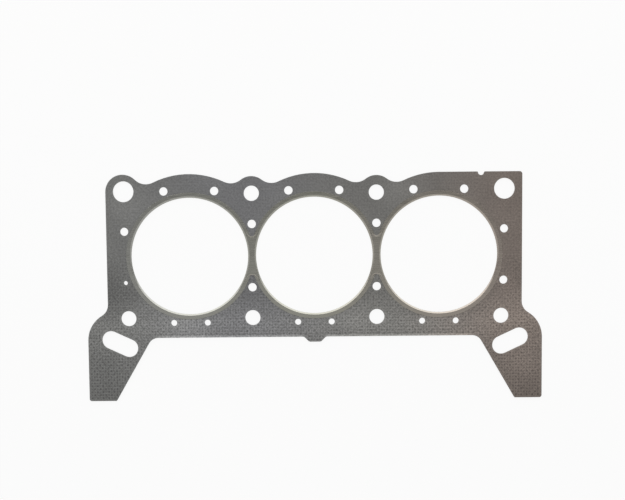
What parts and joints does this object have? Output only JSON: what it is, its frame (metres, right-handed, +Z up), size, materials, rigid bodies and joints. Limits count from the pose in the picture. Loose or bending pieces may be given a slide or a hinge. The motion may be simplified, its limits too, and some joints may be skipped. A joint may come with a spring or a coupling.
{
  "type": "cylinder head gasket",
  "caption": "Flat composite gasket that seals a cylinder head to its engine block, with steel-armoured bores in a row, bolt, dowel and coolant holes, and slotted legs.",
  "frame": {"origin": "on the middle bore's axis, level with the armour's lower lips, which are the lowest faces", "axes": "+X along the bore row towards the square notched end, +Y towards the dowel edge, +Z up out of the head side"},
  "size_m": [0.3896, 0.1943, 0.0019],
  "materials": {
    "fibre_facing": "dull rubber-bound fibre facing, rolled on to a perforated steel core",
    "armour_steel": "thin rolled steel, satin"
  },
  "bodies": {
    "root": {"composite_sheet": "fibre_facing", "bore_armour": "armour_steel"}
  },
  "joints": []
}
